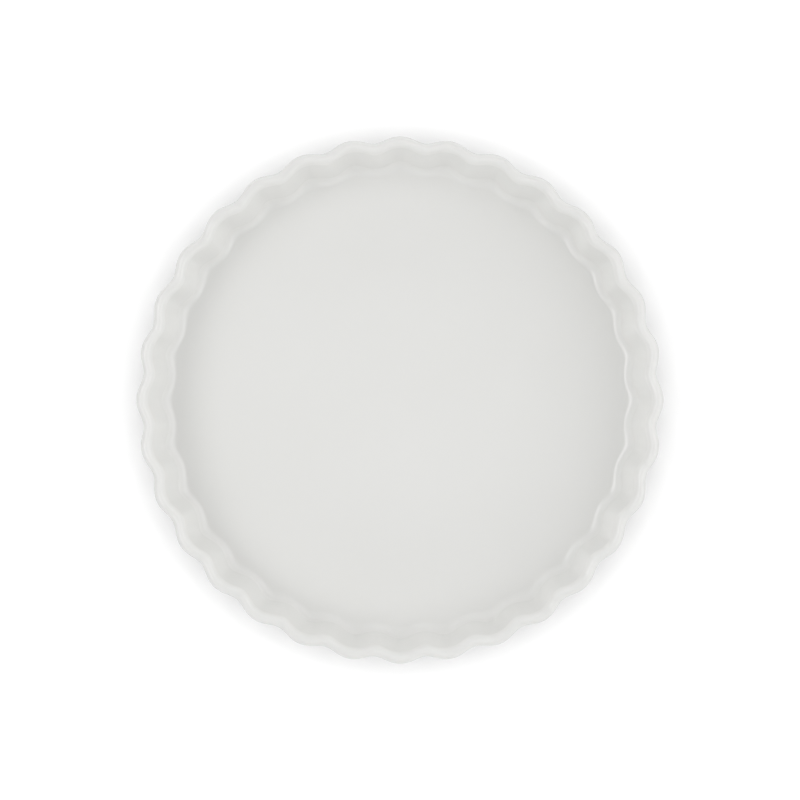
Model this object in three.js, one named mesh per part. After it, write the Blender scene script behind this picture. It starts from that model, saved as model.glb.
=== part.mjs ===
// A fluted tart dish in glazed stoneware: a fired clay body under a thin coat of white glaze.
// Millimetres, +Z up. The origin is on the table, in the middle of the foot ring.
import * as THREE from "three";
import { mergeVertices } from "three/addons/utils/BufferGeometryUtils.js";

// Overall sizes, glaze included
const rimDiameter = 280; // across the flute crests at the rim
const dishHeight = 38; // from the table to the top of the rim

// The fired clay body
const wallThickness = 5.4;
const wallDraft = THREE.MathUtils.degToRad(13.5); // the wall's lean outwards from upright
const rimOuterRadius = 2.8; // of the rim's round outer edge
const rimInnerHeight = 6; // how far down the rim's softer inner edge reaches, part of an ellipse
const floorThickness = 5.6; // from the recess under the dish to the floor inside
const filletWidth = 6.1; // the floor turns up into the wall along part of an ellipse, this wide
const filletHeight = 7.7; // and this high
const baseFillet = 6; // radius where the outside of the wall turns under to the foot
const footWidth = 6; // of the flat ring that the dish stands on
const footRecess = 1.6; // depth of the underside inside the foot ring
const recessRun = 1.2; // how far the side of that recess leans in on its way up

// The flutes, which run down the wall inside and out
const fluteCount = 32;
const fluteDepth = 3.2; // crest to trough, from the rim down to the fillets
const filletSwing = 0.135; // share by which the inner fillet is wider at a crest, narrower at a trough
const baseSwing = 0.25; // the same for the outer fillet's radius, so that the flutes fade at the foot
const rimFullness = 0.07; // above 0 the crests are broad and the troughs narrow
const footFullness = -0.07; // below 0 the crests are narrow and the troughs broad

// The glaze
const glazeThickness = 0.4;
const glazeLine = 1.5; // height on the outside below which the glaze is wiped off the foot

// How finely the curves are cut into facets
const stepsPerFlute = 6;
const filletSteps = 3;
const rimSteps = 2; // on each side of the rim's top
const baseSteps = 1; // on each side of the glaze line
const crestBunching = 0.32; // 0 spaces the columns evenly, more draws them to crests and troughs

const bareClay = new THREE.MeshStandardMaterial({ color: 0xd8cfc0, roughness: 0.9, metalness: 0 });
const whiteGlaze = new THREE.MeshStandardMaterial({ color: 0xe7e7e4, roughness: 0.12, metalness: 0 });

// The section has the distance from the axis in x and the height in y. Each face of the wall is a
// straight line that leans outwards, given by its distance from the axis at the table.
const leanSine = Math.sin(wallDraft);
const leanCosine = Math.cos(wallDraft);
const slope = Math.tan(wallDraft);
const floorTop = footRecess + floorThickness;
const rimTop = dishHeight - glazeThickness;
const rimMiddle = rimDiameter / 2 - glazeThickness - fluteDepth / 2 - rimOuterRadius;
const outerFace = rimMiddle + rimOuterRadius / leanCosine - slope * (rimTop - rimOuterRadius);
const innerFace = outerFace - wallThickness / leanCosine;

// The rim's inner edge is as wide as it has to be to run into the wall's inner face.
const rimInnerReach = wallThickness - rimOuterRadius + (rimInnerHeight - rimOuterRadius) * leanSine;
const rimInnerWidth = Math.sqrt(rimInnerReach ** 2 - (rimInnerHeight * leanSine) ** 2) / leanCosine;

// How far out the middle of an ellipse is whose outer side touches a face of the wall.
function middleInside(face, middleHeight, width, height) {
  return face + slope * middleHeight - Math.hypot(width * leanCosine, height * leanSine) / leanCosine;
}

const footInner = middleInside(outerFace, baseFillet, baseFillet, baseFillet) - footWidth;
const recessRadius = footInner - recessRun;

const straightUp = Math.PI / 2;
const straightDown = -straightUp;
const outAndDown = -wallDraft; // the way the wall's outer face looks
const inAndUp = Math.PI - wallDraft; // the way its inner face looks

// Points along part of an ellipse, between the places where it faces in two directions.
function bend(x, y, width, height, from, to, steps) {
  const turn = (way) => Math.atan2(height * Math.sin(way), width * Math.cos(way));
  return new THREE.EllipseCurve(x, y, width, height, turn(from), turn(to), to < from).getPoints(steps);
}

// The flutes' wave around the dish: 1 at a crest and -1 at a trough.
function wave(angle, fullness) {
  const phase = angle * fluteCount;
  return Math.cos(phase) + fullness * (1 - Math.cos(2 * phase));
}

// The fillet under the outside of the wall at an angle, and the direction of the glaze line on it.
function baseBend(angle) {
  const swing = wave(angle, footFullness);
  const radius = baseFillet * (1 + baseSwing * swing);
  const x = middleInside(outerFace, radius, radius, radius) + (fluteDepth / 2) * swing;
  return { x, radius, lineWay: Math.asin((glazeLine - radius) / radius) };
}

// The glazed face at an angle, from the middle of the floor, up the wall, over the rim and down to
// the glaze line, at a given height above the clay.
function glazedFace(angle, lift) {
  const swing = wave(angle, footFullness);
  const width = filletWidth * (1 + filletSwing * swing);
  const filletY = floorTop + filletHeight;
  const filletX = middleInside(innerFace, filletY, width, filletHeight) + (fluteDepth / 2) * swing;
  const rimX = rimMiddle + (fluteDepth / 2) * wave(angle, rimFullness);
  const innerY = rimTop - rimInnerHeight;
  const innerWidth = rimInnerWidth + lift;
  const innerHeight = rimInnerHeight + lift;
  const outerY = rimTop - rimOuterRadius;
  const outer = rimOuterRadius + lift;
  const base = baseBend(angle);
  const under = base.radius + lift;
  return [
    new THREE.Vector2(0, floorTop + lift),
    ...bend(filletX, filletY, width - lift, filletHeight - lift, straightDown, outAndDown, filletSteps),
    ...bend(rimX, innerY, innerWidth, innerHeight, inAndUp, straightUp, rimSteps),
    ...bend(rimX, outerY, outer, outer, straightUp, 0, rimSteps).slice(1),
    ...bend(base.x, base.radius, under, under, outAndDown, base.lineWay, baseSteps),
  ];
}

// The bare clay outside the glaze line at an angle, down to the outer edge of the foot ring.
function wipedFace(angle) {
  const { x, radius, lineWay } = baseBend(angle);
  return bend(x, radius, radius, radius, lineWay, straightDown, baseSteps).slice(1);
}

// The angle of a column of points, drawn towards the nearest crest or trough.
function columnAngle(column) {
  const flutes = column / stepsPerFlute;
  const drawn = flutes - (crestBunching * Math.sin(4 * Math.PI * flutes)) / (4 * Math.PI);
  return (drawn * 2 * Math.PI) / fluteCount;
}

// Each square of the net is split along its shorter diagonal, so that two faces with the same
// corners lie face to face whichever way round they are drawn.
function shortDiagonalIndex(position, columns, rows) {
  const corner = (column, row) => column * rows + row;
  const at = (i) => new THREE.Vector3().fromBufferAttribute(position, i);
  const index = [];
  for (let column = 0; column < columns; column++) {
    for (let row = 0; row < rows - 1; row++) {
      const a = corner(column, row);
      const b = corner(column + 1, row);
      const c = corner(column + 1, row + 1);
      const d = corner(column, row + 1);
      const acFirst = at(a).distanceToSquared(at(c)) < at(b).distanceToSquared(at(d));
      index.push(...(acFirst ? [a, c, b, a, d, c] : [a, d, b, b, d, c]));
    }
  }
  return index;
}

// A section turned about the Z axis, whose points follow the flutes from angle to angle.
function flutedLathe(sectionAt) {
  const columns = fluteCount * stepsPerFlute;
  const rows = sectionAt(0).length;
  const lathe = new THREE.LatheGeometry(sectionAt(0), columns);
  const position = lathe.getAttribute("position");
  for (let column = 0; column <= columns; column++) {
    const angle = columnAngle(column);
    sectionAt(angle).forEach(({ x, y }, row) => {
      position.setXYZ(column * rows + row, x * Math.cos(angle), x * Math.sin(angle), y);
    });
  }
  lathe.setIndex(shortDiagonalIndex(position, columns, rows));
  lathe.deleteAttribute("normal");
  lathe.deleteAttribute("uv");
  const geometry = mergeVertices(lathe);
  geometry.computeVertexNormals();
  return geometry;
}

function piece(name, geometry, material) {
  const mesh = new THREE.Mesh(geometry, material);
  mesh.name = name;
  return mesh;
}

// The clay: floor, fluted wall, rounded rim and a foot ring about a shallow recess.
function stonewareBody() {
  return flutedLathe((angle) => [
    ...glazedFace(angle, 0),
    ...wipedFace(angle),
    new THREE.Vector2(footInner, 0),
    new THREE.Vector2(recessRadius, footRecess),
    new THREE.Vector2(0, footRecess),
  ]);
}

// One coat of glaze from the floor over the rim to the wiped foot, lying on the clay.
function glazeCoat() {
  return flutedLathe((angle) => [...glazedFace(angle, glazeThickness), ...glazedFace(angle, 0).reverse()]);
}

// The patch of glaze inside the foot ring, under the floor.
function baseGlaze() {
  const underneath = footRecess - glazeThickness;
  return flutedLathe(() => [
    new THREE.Vector2(0, footRecess),
    new THREE.Vector2(recessRadius, footRecess),
    new THREE.Vector2(recessRadius, underneath),
    new THREE.Vector2(0, underneath),
  ]);
}

const tartDish = new THREE.Group();
tartDish.add(
  piece("stoneware_body", stonewareBody(), bareClay),
  piece("glaze_coat", glazeCoat(), whiteGlaze),
  piece("base_glaze", baseGlaze(), whiteGlaze),
);

export default tartDish;
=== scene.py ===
# A white glazed stoneware tart dish on a white table, seen from straight above. Metres, +Z up.
import math

import bpy
import numpy as np
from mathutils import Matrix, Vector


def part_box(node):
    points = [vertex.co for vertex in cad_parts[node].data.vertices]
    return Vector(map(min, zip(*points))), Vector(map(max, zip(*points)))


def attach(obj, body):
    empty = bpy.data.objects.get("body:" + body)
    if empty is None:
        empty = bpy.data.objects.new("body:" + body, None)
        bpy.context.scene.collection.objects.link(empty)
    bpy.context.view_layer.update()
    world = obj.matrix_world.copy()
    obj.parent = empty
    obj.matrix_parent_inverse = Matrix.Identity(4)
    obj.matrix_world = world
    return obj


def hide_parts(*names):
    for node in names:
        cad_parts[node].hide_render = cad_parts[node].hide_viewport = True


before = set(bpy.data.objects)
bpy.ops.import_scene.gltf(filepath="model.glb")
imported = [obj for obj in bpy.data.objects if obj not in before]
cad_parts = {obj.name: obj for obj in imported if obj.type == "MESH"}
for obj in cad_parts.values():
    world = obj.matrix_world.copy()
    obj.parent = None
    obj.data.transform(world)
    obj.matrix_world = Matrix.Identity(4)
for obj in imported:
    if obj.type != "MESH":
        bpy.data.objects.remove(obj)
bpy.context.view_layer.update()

scene = bpy.context.scene
scene.view_settings.view_transform = "Standard"

# Sizes that the CAD model holds
coat_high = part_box("glaze_coat")[1]
body_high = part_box("stoneware_body")[1]
patch_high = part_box("base_glaze")[1]
rim_radius = coat_high.x
dish_height = coat_high.z
glaze_thickness = coat_high.z - body_high.z
foot_recess = patch_high.z
recess_radius = patch_high.x

# The rest of the section, as in the part's source
wall_thickness = 0.0054
wall_draft = math.radians(13.5)
rim_outer_radius = 0.0028
rim_inner_height = 0.006
floor_thickness = 0.0056
fillet_width = 0.0061
fillet_height = 0.0077
base_fillet = 0.006
recess_run = 0.0012
flute_count = 32
flute_depth = 0.0032
fillet_swing = 0.135
base_swing = 0.25
rim_fullness = 0.07
foot_fullness = -0.07
glaze_line = 0.0015

# Details that only the dressed model has
line_wander = 0.00025  # how far the wiped edge of the glaze strays up and down
bead = 0.0006  # length over which the patch of glaze underneath rounds off to nothing at its edge
patch_gap = 1.2  # how far the patch stays inside the recess on average, in times the wander
foot_round = 0.0005  # size of the softened inner edge of the foot ring
foot_edge = ((1, 0), (0.3, 0.1), (-0.1, 0.5))  # that edge's points, outwards and up, in times its size

# How finely the meshes are cut
columns = flute_count * 18
floor_shares = (0.12, 0.4, 0.65, 0.82, 0.92, 0.97)  # where the flat floor has rings of points
under_shares = (0.1, 0.5, 0.8)  # the same for the patch of glaze underneath
recess_shares = (1, 0.5, 0.1)  # and for the clay above that patch
fillet_steps = 7
rim_steps = 5  # on each side of the rim's top
inside_steps = 3
outside_steps = 4
base_steps = 3
coat_fineness = 3  # how many times finer the steps are on the glaze that shows
edge_share = 0.14  # the last part of the outer fillet, where the glaze rounds off to its edge
edge_steps = 5
wiped_steps = 6

lean_sine = math.sin(wall_draft)
lean_cosine = math.cos(wall_draft)
slope = math.tan(wall_draft)
floor_top = foot_recess + floor_thickness
rim_top = dish_height - glaze_thickness
rim_middle = rim_radius - glaze_thickness - flute_depth / 2 - rim_outer_radius
outer_face = rim_middle + rim_outer_radius / lean_cosine - slope * (rim_top - rim_outer_radius)
inner_face = outer_face - wall_thickness / lean_cosine
rim_reach = wall_thickness - rim_outer_radius + (rim_inner_height - rim_outer_radius) * lean_sine
rim_inner_width = math.sqrt(rim_reach**2 - (rim_inner_height * lean_sine) ** 2) / lean_cosine
foot_inner = recess_radius + recess_run

up = math.pi / 2
down = -up
out_and_down = -wall_draft
in_and_up = math.pi - wall_draft

# Every section array has one row per point of the section and one column per angle. Its last axis
# holds the distance from the dish's axis and the height.
angles = np.linspace(0, 2 * math.pi, columns, endpoint=False)


def wave(fullness):
    """The flutes' wave around the dish: 1 at a crest and -1 at a trough."""
    phase = angles * flute_count
    return np.cos(phase) + fullness * (1 - np.cos(2 * phase))


foot_wave = wave(foot_fullness)
rim_wave = wave(rim_fullness)

# The wander of the glaze's edge is a few slow waves: their shares, turns around the dish and starts
wander_waves = ((0.5, 3, 0.7), (0.3, 8, 2.1), (0.2, 19, 4.0))
wander = sum(share * np.sin(turns * angles + start) for share, turns, start in wander_waves)


def middle_inside(face, middle_height, width, height):
    """How far out the middle of an ellipse is whose outer side touches a face of the wall."""
    return face + slope * middle_height - np.hypot(width * lean_cosine, height * lean_sine) / lean_cosine


def ring(radius, height):
    """One row of a section. The radius and the height are one number, or one for each angle."""
    return np.stack(np.broadcast_arrays(radius, height, angles)[:2], 1)[None]


def bend(middle, size, ways, shares, lift):
    """Rows along part of an ellipse, between the places where it faces in two directions, at shares of
    the turn from one to the other. A lift, which may differ from row to row, makes the ellipse larger."""
    x, y = middle
    width, height = size
    start, end = [np.arctan2(height * np.sin(way), width * np.cos(way)) for way in ways]
    rows = []
    for share, rise in zip(shares, np.broadcast_to(lift, len(shares))):
        turn = start + (end - start) * share
        rows.append(ring(x + (width + rise) * np.cos(turn), y + (height + rise) * np.sin(turn)))
    return np.concatenate(rows)


def straight(low, high, steps):
    """Rows between two rows, without the two themselves."""
    shares = np.linspace(0, 1, steps + 1)[1:-1, None, None]
    return low + (high - low) * shares


def even(steps):
    return np.linspace(0, 1, steps + 1)


base_radius = base_fillet * (1 + base_swing * foot_wave)
base_x = middle_inside(outer_face, base_radius, base_radius, base_radius) + flute_depth / 2 * foot_wave


def line_way(height):
    """The direction in which the outer fillet faces at a height."""
    return np.arcsin((height - base_radius) / base_radius)


def glazed_face(lift, line, fineness, round_edge):
    """The face from the middle of the floor, up the wall, over the rim and down to the glaze line."""
    width = fillet_width * (1 + fillet_swing * foot_wave)
    fillet_y = floor_top + fillet_height
    fillet_x = middle_inside(inner_face, fillet_y, width, fillet_height) + flute_depth / 2 * foot_wave
    fillet_size = (width, fillet_height)
    fillet_shares = even(fillet_steps * fineness)
    rim_x = rim_middle + flute_depth / 2 * rim_wave
    rim_shares = even(rim_steps * fineness)
    inner_y = rim_top - rim_inner_height
    inner_size = (rim_inner_width, rim_inner_height)
    outer_y = rim_top - rim_outer_radius
    outer_size = (rim_outer_radius, rim_outer_radius)
    floor = [ring(share * fillet_x, floor_top + lift) for share in floor_shares]
    fillet = bend((fillet_x, fillet_y), fillet_size, (down, out_and_down), fillet_shares, -lift)
    inner = bend((rim_x, inner_y), inner_size, (in_and_up, up), rim_shares, lift)
    outer = bend((rim_x, outer_y), outer_size, (up, out_and_down), rim_shares, lift)[1:]
    edge_shares = 1 - edge_share * np.cos(even(edge_steps) * up)
    base_shares = np.concatenate([(1 - edge_share) * even(base_steps * fineness)[:-1], edge_shares])
    base_lifts = np.full(len(base_shares), lift)
    if round_edge:
        base_lifts[-edge_steps - 1 :] = lift * np.cos(even(edge_steps) * up)
    base_ways = (out_and_down, line_way(line))
    base = bend((base_x, base_radius), (base_radius, base_radius), base_ways, base_shares, base_lifts)
    wall_inside = straight(fillet[-1:], inner[:1], inside_steps * fineness)
    wall_outside = straight(outer[-1:], base[:1], outside_steps * fineness)
    return np.concatenate([*floor, fillet, wall_inside, inner, outer, wall_outside, base])


def turned_mesh(name, section):
    """A closed mesh from section rows that start and end near the axis, closed there by a point."""
    radius = section[..., 0]
    points = np.stack([radius * np.cos(angles), radius * np.sin(angles), section[..., 1]], 2)
    rows = len(section)
    vertices = [(0, 0, section[0, 0, 1]), *map(tuple, points.reshape(-1, 3)), (0, 0, section[-1, 0, 1])]
    around = np.arange(columns)
    onward = (around + 1) % columns
    faces = [(0, 1 + a, 1 + b) for a, b in zip(around, onward)]
    for row in range(rows - 1):
        first = 1 + row * columns
        second = first + columns
        faces += [(first + a, second + a, second + b, first + b) for a, b in zip(around, onward)]
    last = 1 + (rows - 1) * columns
    faces += [(last + a, len(vertices) - 1, last + b) for a, b in zip(around, onward)]
    mesh = bpy.data.meshes.new(name)
    mesh.from_pydata(vertices, [], faces)
    mesh.polygons.foreach_set("use_smooth", np.ones(len(mesh.polygons), bool))
    mesh.update()
    piece = bpy.data.objects.new(name, mesh)
    scene.collection.objects.link(piece)
    return piece


def coat_section():
    line = glaze_line + line_wander * wander
    top = glazed_face(glaze_thickness, line, coat_fineness, True)
    under = glazed_face(0, line, 1, False)
    return np.concatenate([top, under[-2::-1]])


def body_section():
    top = glazed_face(0, np.full(columns, glaze_line), 1, False)
    wiped_ways = (line_way(glaze_line), down)
    base_size = (base_radius, base_radius)
    outside = bend((base_x, base_radius), base_size, wiped_ways, even(wiped_steps), 0)[1:]
    foot = [ring(foot_inner + away * foot_round, rise * foot_round) for away, rise in foot_edge]
    recess = [ring(share * recess_radius, foot_recess) for share in recess_shares]
    return np.concatenate([top, outside, *foot, *recess])


def patch_section():
    edge = recess_radius - line_wander * (patch_gap + wander)
    turns = even(edge_steps) * up
    rounded = [ring(edge - bead * (1 - np.cos(t)), foot_recess - glaze_thickness * np.sin(t)) for t in turns]
    lower = [ring(share * recess_radius, foot_recess - glaze_thickness) for share in under_shares[::-1]]
    upper = [ring(share * recess_radius, foot_recess) for share in under_shares]
    return np.concatenate([*upper, *rounded, *lower])


# The glaze is a gloss white with a slight drift in tone, uneven gloss and a faint ripple. Noise scales
# are in features to the metre.
glaze_tones = ((0.85, 0.85, 0.83, 1), (0.86, 0.86, 0.842, 1))
glaze_tone_range = (0.3, 0.7)
glaze_drift = {"Scale": 14, "Detail": 2}
glaze_unevenness = {"Scale": 60, "Detail": 3}
glaze_roughness = {"To Min": 0.05, "To Max": 0.10}
glaze_ripple = {"Scale": 260, "Detail": 2}
glaze_bump = {"Strength": 0.06, "Distance": 0.0003}
glaze_index = 1.7  # of refraction

# The bare clay is buff, matt and rough, with clouds and dark specks.
clay_tones = ((0.62, 0.55, 0.45, 1), (0.76, 0.70, 0.61, 1))
clay_tone_range = (0.35, 0.65)
clay_clouds = {"Scale": 90, "Detail": 6}
speck_tones = ((0.45, 0.38, 0.30, 1), (1, 1, 1, 1))
speck_range = (0.30, 0.36)
clay_specks = {"Scale": 1500, "Detail": 1}
clay_grain = {"Scale": 2200, "Detail": 4}
clay_bump = {"Strength": 0.5, "Distance": 0.0002}
clay_roughness = 0.9
clay_gloss = 0.3


def node(tree, kind, inputs=()):
    made = tree.nodes.new(kind)
    for name, value in dict(inputs).items():
        made.inputs[name].default_value = value
    return made


def noise(tree, place, inputs):
    made = node(tree, "ShaderNodeTexNoise", inputs)
    tree.links.new(place, made.inputs["Vector"])
    return made.outputs["Fac"]


def ramp(tree, source, tones, positions):
    """A colour ramp from one colour to another, over part of a value's range."""
    made = tree.nodes.new("ShaderNodeValToRGB")
    for element, tone, position in zip(made.color_ramp.elements, tones, positions):
        element.position = position
        element.color = tone
    tree.links.new(source, made.inputs["Fac"])
    return made.outputs["Color"]


def add_bump(tree, shader, height, inputs):
    bump = node(tree, "ShaderNodeBump", inputs)
    tree.links.new(height, bump.inputs["Height"])
    tree.links.new(bump.outputs["Normal"], shader.inputs["Normal"])


def math_node(tree, operation, *values):
    """A math node on numbers and other nodes' outputs."""
    made = tree.nodes.new("ShaderNodeMath")
    made.operation = operation
    for socket, value in zip(made.inputs, values):
        if isinstance(value, bpy.types.NodeSocket):
            tree.links.new(value, socket)
        else:
            socket.default_value = value
    return made.outputs["Value"]


def new_material(name):
    material = bpy.data.materials.new(name)
    material.use_nodes = True
    tree = material.node_tree
    return material, tree, tree.nodes["Principled BSDF"]


def glaze_material():
    material, tree, shader = new_material("white_glaze")
    place = tree.nodes.new("ShaderNodeTexCoord").outputs["Object"]
    tone = ramp(tree, noise(tree, place, glaze_drift), glaze_tones, glaze_tone_range)
    tree.links.new(tone, shader.inputs["Base Color"])
    rough = node(tree, "ShaderNodeMapRange", glaze_roughness)
    tree.links.new(noise(tree, place, glaze_unevenness), rough.inputs["Value"])
    tree.links.new(rough.outputs["Result"], shader.inputs["Roughness"])
    add_bump(tree, shader, noise(tree, place, glaze_ripple), glaze_bump)
    shader.inputs["IOR"].default_value = glaze_index
    return material


def stoneware_material():
    material, tree, shader = new_material("bare_stoneware")
    place = tree.nodes.new("ShaderNodeTexCoord").outputs["Object"]
    mix = node(tree, "ShaderNodeMixRGB", {"Fac": 1})
    mix.blend_type = "MULTIPLY"
    clouded = ramp(tree, noise(tree, place, clay_clouds), clay_tones, clay_tone_range)
    tree.links.new(clouded, mix.inputs["Color1"])
    specked = ramp(tree, noise(tree, place, clay_specks), speck_tones, speck_range)
    tree.links.new(specked, mix.inputs["Color2"])
    tree.links.new(mix.outputs["Color"], shader.inputs["Base Color"])
    add_bump(tree, shader, noise(tree, place, clay_grain), clay_bump)
    shader.inputs["Roughness"].default_value = clay_roughness
    shader.inputs["Specular IOR Level"].default_value = clay_gloss
    return material


glaze = glaze_material()
stoneware = stoneware_material()
for name, section, material, slot in (
    ("stoneware_body", body_section(), stoneware, "bare_stoneware"),
    ("glaze_coat", coat_section(), glaze, "white_glaze"),
    ("base_glaze", patch_section(), glaze, "white_glaze"),
):
    piece = turned_mesh("dressed_" + name, section)
    piece.data.materials.append(material)
    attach(piece, "root")
    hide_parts(name)

# The white table keeps the dish's real shadow, and rises far away to stand behind the dish in low views. A
# glow that only cameras, mirrors and glass see makes it white, and an ambient occlusion node darkens that
# glow close to the dish as a painted contact shadow.
table_reach = 8  # from the dish to where the table starts to rise
edge_reach = 14  # from the dish to its far edge
edge_height = 1.4
table_sides = 96
table_tone = 0.5
table_glow = 0.64
painted_shadow_reach = 0.0217  # how near to the table the dish has to be to darken the glow, the reach of the painted shadow


def table_material():
    material, tree, shader = new_material("table")
    tree.nodes.remove(shader)
    plain = node(tree, "ShaderNodeBsdfDiffuse", {"Color": (table_tone, table_tone, table_tone, 1)})
    glow = node(tree, "ShaderNodeEmission")
    path = tree.nodes.new("ShaderNodeLightPath")
    seen = math_node(tree, "MAXIMUM", path.outputs["Is Camera Ray"], path.outputs["Is Glossy Ray"])
    seen = math_node(tree, "MAXIMUM", seen, path.outputs["Is Transmission Ray"])
    # The ambient occlusion node darkens the glow near the dish: a painted shadow, not one cast by any lamp.
    painted_shadow_node = node(tree, "ShaderNodeAmbientOcclusion", {"Distance": painted_shadow_reach})
    glow_with_painted_shadow = math_node(tree, "MULTIPLY", painted_shadow_node.outputs["AO"], table_glow)
    strength = math_node(tree, "MULTIPLY", glow_with_painted_shadow, seen)
    tree.links.new(strength, glow.inputs["Strength"])
    both = tree.nodes.new("ShaderNodeAddShader")
    tree.links.new(plain.outputs["BSDF"], both.inputs[0])
    tree.links.new(glow.outputs["Emission"], both.inputs[1])
    tree.links.new(both.outputs["Shader"], tree.nodes["Material Output"].inputs["Surface"])
    return material


def table_mesh():
    """A flat disc inside a ring that rises to the far edge."""
    corners = []
    for reach, height in ((table_reach, 0), (edge_reach, edge_height)):
        for side in range(table_sides):
            turn = 2 * math.pi * side / table_sides
            corners.append((reach * math.cos(turn), reach * math.sin(turn), height))
    faces = [range(table_sides)]
    for side in range(table_sides):
        following = (side + 1) % table_sides
        faces.append((side, following, table_sides + following, table_sides + side))
    mesh = bpy.data.meshes.new("table")
    mesh.from_pydata(corners, [], faces)
    mesh.materials.append(table_material())
    return mesh


table = bpy.data.objects.new("table", table_mesh())
scene.collection.objects.link(table)

# Soft boxes in the sky: the range of turns away from +X and the range of elevations, in degrees, and
# how much brighter than the rest of the sky each is. The sky is the same on both sides of the X axis,
# and a range that goes past 0 or 180 degrees has no edge there.
right = (-20, 35)
right_shoulder = (35, 65)
ends = (65, 115)
left_shoulder = (115, 145)
left = (145, 200)
all_but_left = (-20, 145)
boxes = (
    (all_but_left, (8, 27), 0.87),
    (left, (8, 27), 0.27),
    (right, (27, 62), 1.2),
    (right_shoulder, (27, 50), 0.43),
    (left_shoulder, (27, 50), 0.43),
    (left, (38, 62), 2.35),
    (ends, (50, 75), 0.72),
)
sky_glow = 0.363  # all over the sky
turn_softness = 8  # of the boxes' edges, in degrees
rise_softness = 2


def band(tree, value, low, high, softness):
    """1 between two angles and 0 outside them, with soft edges."""
    edges = []
    for angle, before, after in ((low, 0, 1), (high, 1, 0)):
        edge = node(tree, "ShaderNodeMapRange", {"To Min": before, "To Max": after})
        edge.interpolation_type = "SMOOTHSTEP"
        edge.inputs["From Min"].default_value = math.radians(angle - softness)
        edge.inputs["From Max"].default_value = math.radians(angle + softness)
        tree.links.new(value, edge.inputs["Value"])
        edges.append(edge.outputs["Result"])
    return math_node(tree, "MULTIPLY", *edges)


def studio_world():
    world = bpy.data.worlds.new("studio")
    world.use_nodes = True
    tree = world.node_tree
    way = tree.nodes.new("ShaderNodeSeparateXYZ")
    tree.links.new(tree.nodes.new("ShaderNodeTexCoord").outputs["Generated"], way.inputs["Vector"])
    rise = math_node(tree, "ARCSINE", way.outputs["Z"])
    turn = math_node(tree, "ABSOLUTE", math_node(tree, "ARCTAN2", way.outputs["Y"], way.outputs["X"]))
    total = sky_glow
    for turns, rises, brightness in boxes:
        within_turns = band(tree, turn, *turns, turn_softness)
        within_rises = band(tree, rise, *rises, rise_softness)
        inside = math_node(tree, "MULTIPLY", within_turns, within_rises)
        total = math_node(tree, "MULTIPLY_ADD", inside, brightness, total)
    light = tree.nodes["Background"]
    light.inputs["Color"].default_value = (1, 1, 1, 1)
    tree.links.new(total, light.inputs["Strength"])
    return world


scene.world = studio_world()

# The camera looks straight down from above the middle of the dish, with +Y up in the picture.
camera_distance = 1.8  # above the widest part of the rim
camera_limit = 50  # how far it sees
picture_width = 800
rim_in_picture = 263.7  # the rim's radius in pixels
half_view = rim_radius * (picture_width / 2) / rim_in_picture
camera = bpy.data.cameras.new("camera")
camera.lens = camera.sensor_width / 2 * camera_distance / half_view
camera.clip_end = camera_limit
view = bpy.data.objects.new("camera", camera)
view.location = (0, 0, dish_height - rim_outer_radius - glaze_thickness + camera_distance)
scene.collection.objects.link(view)
scene.camera = view
